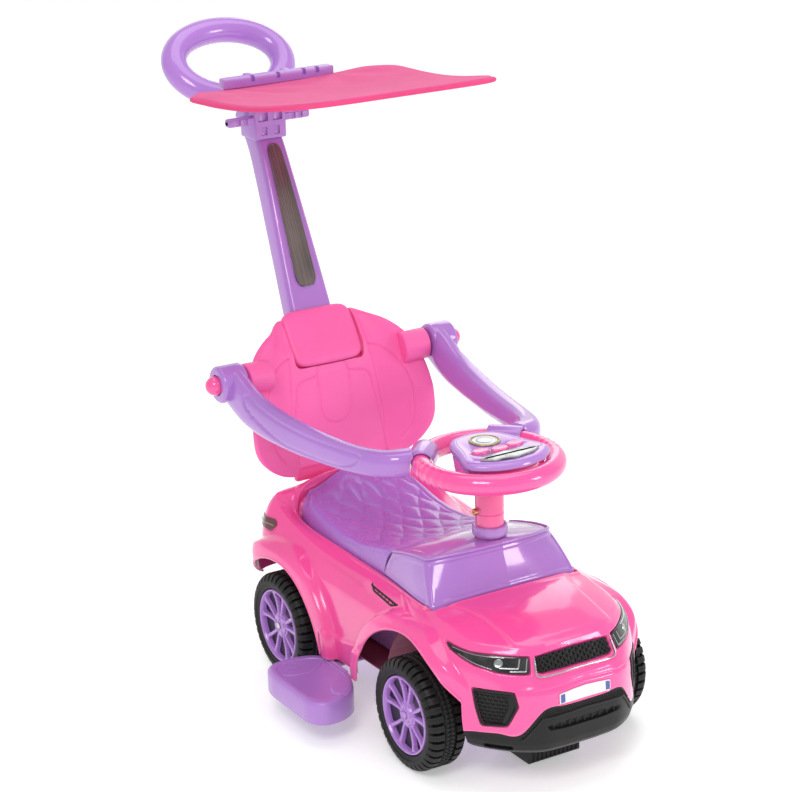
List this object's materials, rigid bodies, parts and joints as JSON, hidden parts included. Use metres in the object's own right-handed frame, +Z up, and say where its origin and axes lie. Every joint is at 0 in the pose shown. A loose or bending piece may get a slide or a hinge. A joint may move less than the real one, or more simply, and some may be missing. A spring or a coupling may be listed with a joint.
{
  "type": "ride-on push car",
  "caption": "Foot-to-floor ride-on car with lift-up seat, steering wheel with buttons, guard arms, slide-in footrests, backrest, push pole with ring handle and tilting cloth canopy.",
  "frame": {"origin": "on the floor, under the middle of the bounding box", "axes": "+Z up, front of the car towards -Y, the car's left side towards +X"},
  "size_m": [0.491, 0.9898, 0.8781],
  "materials": {
    "pink_gloss": "glossy moulded plastic",
    "pink_satin": "satin moulded plastic",
    "lilac_gloss": "glossy moulded plastic",
    "black_satin": "satin moulded plastic",
    "tyre_plastic": "hard moulded plastic tyre",
    "steel": "plain steel",
    "brass": "zinc-yellow screw",
    "bright_trim": "bright plated plastic",
    "lamp_lens": "smoked printed lamp face",
    "tail_lens": "red printed lamp face",
    "plate_white": "white label",
    "smoke_plate": "dark metallic label",
    "pink_canvas": "thin woven cloth"
  },
  "bodies": {
    "car": {"body_shell": "pink_gloss", "arch_liner": "pink_gloss", "chassis": "lilac_gloss", "storage_tray": "lilac_gloss", "dash_cowl": "lilac_gloss", "column_collar": "lilac_gloss", "grille_insert": "black_satin", "grille_frame": "bright_trim", "headlight_left": "lamp_lens", "headlight_right": "lamp_lens", "fog_insert_left": "black_satin", "fog_insert_right": "black_satin", "side_vent_left": "black_satin", "side_vent_right": "black_satin", "tail_light_left": "tail_lens", "tail_light_right": "tail_lens", "lower_bumper": "black_satin", "plate_panel": "plate_white", "front_stop_block": "black_satin", "backrest": "pink_satin", "headrest_pad": "pink_satin", "push_pole": "lilac_gloss", "handle_ring": "lilac_gloss", "pole_plate": "smoke_plate", "canopy_bracket": "lilac_gloss", "canopy_pivot_pin": "steel", "arm_pin_left": "pink_gloss", "arm_pin_right": "pink_gloss", "rear_axle": "steel"},
    "seat": {"seat_lid": "lilac_gloss"},
    "arm_left": {"guard_arm_left": "lilac_gloss"},
    "arm_right": {"guard_arm_right": "lilac_gloss"},
    "steering": {"steering_ring": "pink_gloss", "steering_hub": "pink_gloss", "hub_cover": "lilac_gloss", "hub_dial": "bright_trim", "hub_window": "lamp_lens", "battery_cover": "pink_gloss", "steering_column": "pink_gloss", "column_screw": "brass", "steering_shaft": "steel"},
    "horn_left": {"button_left": "pink_gloss"},
    "horn_middle": {"button_middle": "pink_gloss"},
    "horn_right": {"button_right": "pink_gloss"},
    "knuckle_l": {"knuckle_left": "lilac_gloss"},
    "knuckle_r": {"knuckle_right": "lilac_gloss"},
    "linkage": {"tie_rod": "steel"},
    "wheel_fl": {"tyre_front_left": "tyre_plastic", "rim_front_left": "lilac_gloss"},
    "wheel_fr": {"tyre_front_right": "tyre_plastic", "rim_front_right": "lilac_gloss"},
    "wheel_rl": {"tyre_rear_left": "tyre_plastic", "rim_rear_left": "lilac_gloss"},
    "wheel_rr": {"tyre_rear_right": "tyre_plastic", "rim_rear_right": "lilac_gloss"},
    "step_left": {"footrest_left": "lilac_gloss"},
    "step_right": {"footrest_right": "lilac_gloss"},
    "canopy": {"canopy_crossbar": "lilac_gloss", "canopy_wire": "steel", "canopy_fabric": "pink_canvas"}
  },
  "joints": [
    {"name": "seat_hinge", "type": "hinge", "parent": "car", "child": "seat", "pos_m": [0, -0.1729, 0.249], "axis": [1, 0, 0], "range_deg": [0, 25]},
    {"name": "guard_left_lift", "type": "hinge", "parent": "car", "child": "arm_left", "pos_m": [0.17, 0.1343, 0.419], "axis": [-1, 0, 0], "range_deg": [0, 50]},
    {"name": "guard_right_lift", "type": "hinge", "parent": "car", "child": "arm_right", "pos_m": [-0.17, 0.1343, 0.419], "axis": [-1, 0, 0], "range_deg": [0, 50]},
    {"name": "steering_turn", "type": "hinge", "parent": "car", "child": "steering", "pos_m": [0, -0.2717, 0.3], "axis": [0, 0, 1], "range_deg": [-12, 12]},
    {"name": "knuckle_left_turn", "type": "hinge", "parent": "car", "child": "knuckle_l", "pos_m": [0.098, -0.3194, 0.0775], "axis": [0, 0, 1], "range_deg": [-12, 12]},
    {"name": "knuckle_right_turn", "type": "hinge", "parent": "car", "child": "knuckle_r", "pos_m": [-0.098, -0.3194, 0.0775], "axis": [0, 0, 1], "range_deg": [-12, 12]},
    {"name": "linkage_turn", "type": "hinge", "parent": "steering", "child": "linkage", "pos_m": [0, -0.2477, 0.0598], "axis": [0, 0, 1], "range_deg": [-12, 12]},
    {"name": "wheel_front_left_spin", "type": "hinge", "parent": "knuckle_l", "child": "wheel_fl", "pos_m": [0.146, -0.3194, 0.0775], "axis": [1, 0, 0], "continuous": true},
    {"name": "wheel_front_right_spin", "type": "hinge", "parent": "knuckle_r", "child": "wheel_fr", "pos_m": [-0.146, -0.3194, 0.0775], "axis": [1, 0, 0], "continuous": true},
    {"name": "wheel_rear_left_spin", "type": "hinge", "parent": "car", "child": "wheel_rl", "pos_m": [0.146, 0.0296, 0.0775], "axis": [1, 0, 0], "continuous": true},
    {"name": "wheel_rear_right_spin", "type": "hinge", "parent": "car", "child": "wheel_rr", "pos_m": [-0.146, 0.0296, 0.0775], "axis": [1, 0, 0], "continuous": true},
    {"name": "footrest_left_slide", "type": "slide", "parent": "car", "child": "step_left", "axis": [-1, 0, 0], "range_m": [0, 0.075]},
    {"name": "footrest_right_slide", "type": "slide", "parent": "car", "child": "step_right", "axis": [1, 0, 0], "range_m": [0, 0.075]},
    {"name": "button_left_press", "type": "slide", "parent": "steering", "child": "horn_left", "axis": [0, 0, -1], "range_m": [0, 0.0014], "stiffness_N_per_m": 300},
    {"name": "button_middle_press", "type": "slide", "parent": "steering", "child": "horn_middle", "axis": [0, 0, -1], "range_m": [0, 0.0014], "stiffness_N_per_m": 300},
    {"name": "button_right_press", "type": "slide", "parent": "steering", "child": "horn_right", "axis": [0, 0, -1], "range_m": [0, 0.0014], "stiffness_N_per_m": 300},
    {"name": "canopy_tilt", "type": "hinge", "parent": "car", "child": "canopy", "pos_m": [0, 0.3163, 0.778], "axis": [1, 0, 0], "range_deg": [-30, 8]}
  ],
  "couplings": [
    {"joint": "knuckle_left_turn", "follows": "steering_turn", "ratio": 1},
    {"joint": "knuckle_right_turn", "follows": "steering_turn", "ratio": 1},
    {"joint": "linkage_turn", "follows": "steering_turn", "ratio": -1}
  ]
}
